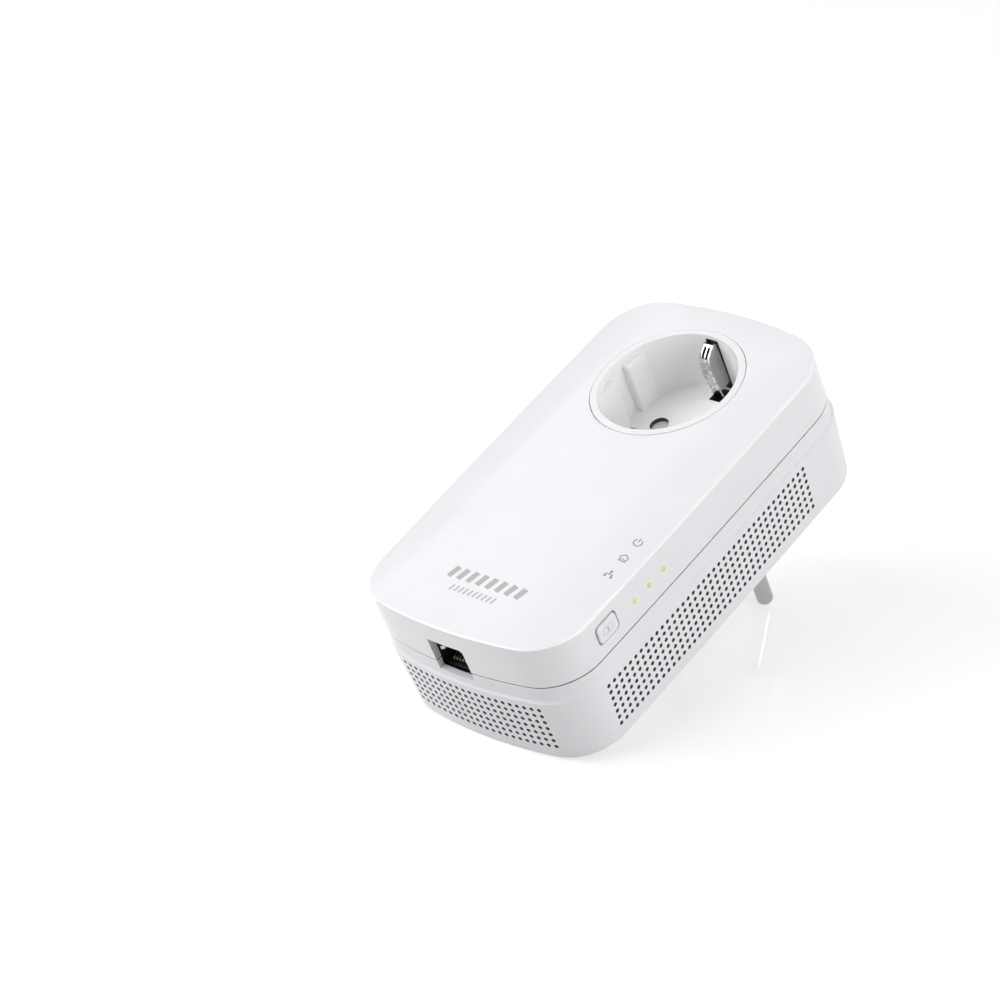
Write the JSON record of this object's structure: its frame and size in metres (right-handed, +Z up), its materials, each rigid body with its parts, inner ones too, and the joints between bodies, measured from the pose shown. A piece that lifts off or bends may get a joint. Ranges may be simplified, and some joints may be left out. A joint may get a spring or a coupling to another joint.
{
  "type": "powerline adapter",
  "caption": "Pass-through powerline network adapter: wall-plug box with a side-earth socket in front, network jack, pairing button and status lights.",
  "frame": {"origin": "centre of the flat end face of the plug body, between the two pins", "axes": "+Y into the wall outlet, the way the pins point; +Z up, towards the socket end; +X to the right of someone facing the front"},
  "size_m": [0.0732, 0.078, 0.1293],
  "materials": {
    "gloss_white": "glossy moulded white plastic",
    "button_white": "glossy moulded white plastic",
    "light_grey": "fine matte moulded plastic",
    "black_plastic": "matte black moulding compound",
    "clear_lens": "clear light-guide plastic with a green tint",
    "led_body": "cast resin",
    "board_green": "solder-masked board",
    "sleeve_blue": "shrink sleeve",
    "moulded_cream": "cast resin",
    "label_paper": "blank printed label stock",
    "contact_gold": "gold-plated spring wire",
    "contact_brass": "stamped brass",
    "winding_copper": "enamelled copper winding",
    "sink_aluminium": "extruded aluminium",
    "bright_steel": "nickel-plated steel"
  },
  "bodies": {
    "housing": {"bulk_capacitor": "sleeve_blue", "busbar_line": "contact_brass", "busbar_neutral": "contact_brass", "contact_carrier": "light_grey", "coupling_transformer": "black_plastic", "crystal": "bright_steel", "earth_bridge": "contact_brass", "ethernet_chip": "black_plastic", "front_cover": "gloss_white", "heat_sink": "sink_aluminium", "housing_screw_1": "bright_steel", "housing_screw_2": "bright_steel", "housing_screw_3": "bright_steel", "housing_screw_4": "bright_steel", "input_fuse": "moulded_cream", "jack_housing": "black_plastic", "jack_shield": "bright_steel", "light_pipe": "clear_lens", "main_board": "board_green", "network_transformer": "black_plastic", "noise_choke": "winding_copper", "plug_body": "gloss_white", "plug_earth_strip_lower": "bright_steel", "plug_earth_strip_upper": "bright_steel", "plug_pin_line": "bright_steel", "plug_pin_neutral": "bright_steel", "powerline_chip": "black_plastic", "rating_label": "label_paper", "rear_housing": "gloss_white", "side_board": "board_green", "socket_contact_line": "contact_brass", "socket_contact_neutral": "contact_brass", "socket_insert": "gloss_white", "status_led_1": "led_body", "status_led_2": "led_body", "status_led_3": "led_body", "supply_transformer": "black_plastic", "suppression_capacitor": "moulded_cream", "surge_varistor": "sleeve_blue", "tact_switch": "black_plastic"},
    "shutter": {"socket_shutter": "light_grey", "shutter_spring": "bright_steel"},
    "upper_clip": {"earth_clip_upper": "bright_steel"},
    "lower_clip": {"earth_clip_lower": "bright_steel"},
    "button": {"pair_button": "button_white"},
    "plunger": {"switch_plunger": "bright_steel"},
    "wire_1": {"jack_contact_1": "contact_gold"},
    "wire_2": {"jack_contact_2": "contact_gold"},
    "wire_3": {"jack_contact_3": "contact_gold"},
    "wire_4": {"jack_contact_4": "contact_gold"},
    "wire_5": {"jack_contact_5": "contact_gold"},
    "wire_6": {"jack_contact_6": "contact_gold"},
    "wire_7": {"jack_contact_7": "contact_gold"},
    "wire_8": {"jack_contact_8": "contact_gold"}
  },
  "joints": [
    {"name": "shutter_turn", "type": "hinge", "parent": "housing", "child": "shutter", "pos_m": [0, -0.038, 0.002], "axis": [0, 1, 0], "range_deg": [0, 40], "stiffness_Nm_per_rad": 0.0015},
    {"name": "pair_button_press", "type": "slide", "parent": "housing", "child": "button", "axis": [-1, 0, 0], "range_m": [0, 0.0005], "stiffness_N_per_m": 2000},
    {"name": "switch_plunger_press", "type": "slide", "parent": "housing", "child": "plunger", "axis": [-1, 0, 0], "range_m": [0, 0.0005], "stiffness_N_per_m": 800},
    {"name": "earth_clip_upper_flex", "type": "hinge", "parent": "housing", "child": "upper_clip", "pos_m": [0, -0.0384, 0.0179], "axis": [-1, 0, 0], "range_deg": [0, 5], "stiffness_Nm_per_rad": 0.5},
    {"name": "earth_clip_lower_flex", "type": "hinge", "parent": "housing", "child": "lower_clip", "pos_m": [0, -0.0384, -0.0139], "axis": [1, 0, 0], "range_deg": [0, 5], "stiffness_Nm_per_rad": 0.5},
    {"name": "jack_contact_1_flex", "type": "hinge", "parent": "housing", "child": "wire_1", "pos_m": [-0.00501, -0.0418, -0.0926], "axis": [-1, 0, 0], "range_deg": [0, 12], "stiffness_Nm_per_rad": 0.004},
    {"name": "jack_contact_2_flex", "type": "hinge", "parent": "housing", "child": "wire_2", "pos_m": [-0.00399, -0.0418, -0.0926], "axis": [-1, 0, 0], "range_deg": [0, 12], "stiffness_Nm_per_rad": 0.004},
    {"name": "jack_contact_3_flex", "type": "hinge", "parent": "housing", "child": "wire_3", "pos_m": [-0.00297, -0.0418, -0.0926], "axis": [-1, 0, 0], "range_deg": [0, 12], "stiffness_Nm_per_rad": 0.004},
    {"name": "jack_contact_4_flex", "type": "hinge", "parent": "housing", "child": "wire_4", "pos_m": [-0.00196, -0.0418, -0.0926], "axis": [-1, 0, 0], "range_deg": [0, 12], "stiffness_Nm_per_rad": 0.004},
    {"name": "jack_contact_5_flex", "type": "hinge", "parent": "housing", "child": "wire_5", "pos_m": [-0.00094, -0.0418, -0.0926], "axis": [-1, 0, 0], "range_deg": [0, 12], "stiffness_Nm_per_rad": 0.004},
    {"name": "jack_contact_6_flex", "type": "hinge", "parent": "housing", "child": "wire_6", "pos_m": [0.00007, -0.0418, -0.0926], "axis": [-1, 0, 0], "range_deg": [0, 12], "stiffness_Nm_per_rad": 0.004},
    {"name": "jack_contact_7_flex", "type": "hinge", "parent": "housing", "child": "wire_7", "pos_m": [0.00109, -0.0418, -0.0926], "axis": [-1, 0, 0], "range_deg": [0, 12], "stiffness_Nm_per_rad": 0.004},
    {"name": "jack_contact_8_flex", "type": "hinge", "parent": "housing", "child": "wire_8", "pos_m": [0.00211, -0.0418, -0.0926], "axis": [-1, 0, 0], "range_deg": [0, 12], "stiffness_Nm_per_rad": 0.004}
  ],
  "couplings": [
    {"joint": "switch_plunger_press", "follows": "pair_button_press", "ratio": 1},
    {"joint": "earth_clip_lower_flex", "follows": "earth_clip_upper_flex", "ratio": 1},
    {"joint": "jack_contact_2_flex", "follows": "jack_contact_1_flex", "ratio": 1},
    {"joint": "jack_contact_3_flex", "follows": "jack_contact_1_flex", "ratio": 1},
    {"joint": "jack_contact_4_flex", "follows": "jack_contact_1_flex", "ratio": 1},
    {"joint": "jack_contact_5_flex", "follows": "jack_contact_1_flex", "ratio": 1},
    {"joint": "jack_contact_6_flex", "follows": "jack_contact_1_flex", "ratio": 1},
    {"joint": "jack_contact_7_flex", "follows": "jack_contact_1_flex", "ratio": 1},
    {"joint": "jack_contact_8_flex", "follows": "jack_contact_1_flex", "ratio": 1}
  ]
}
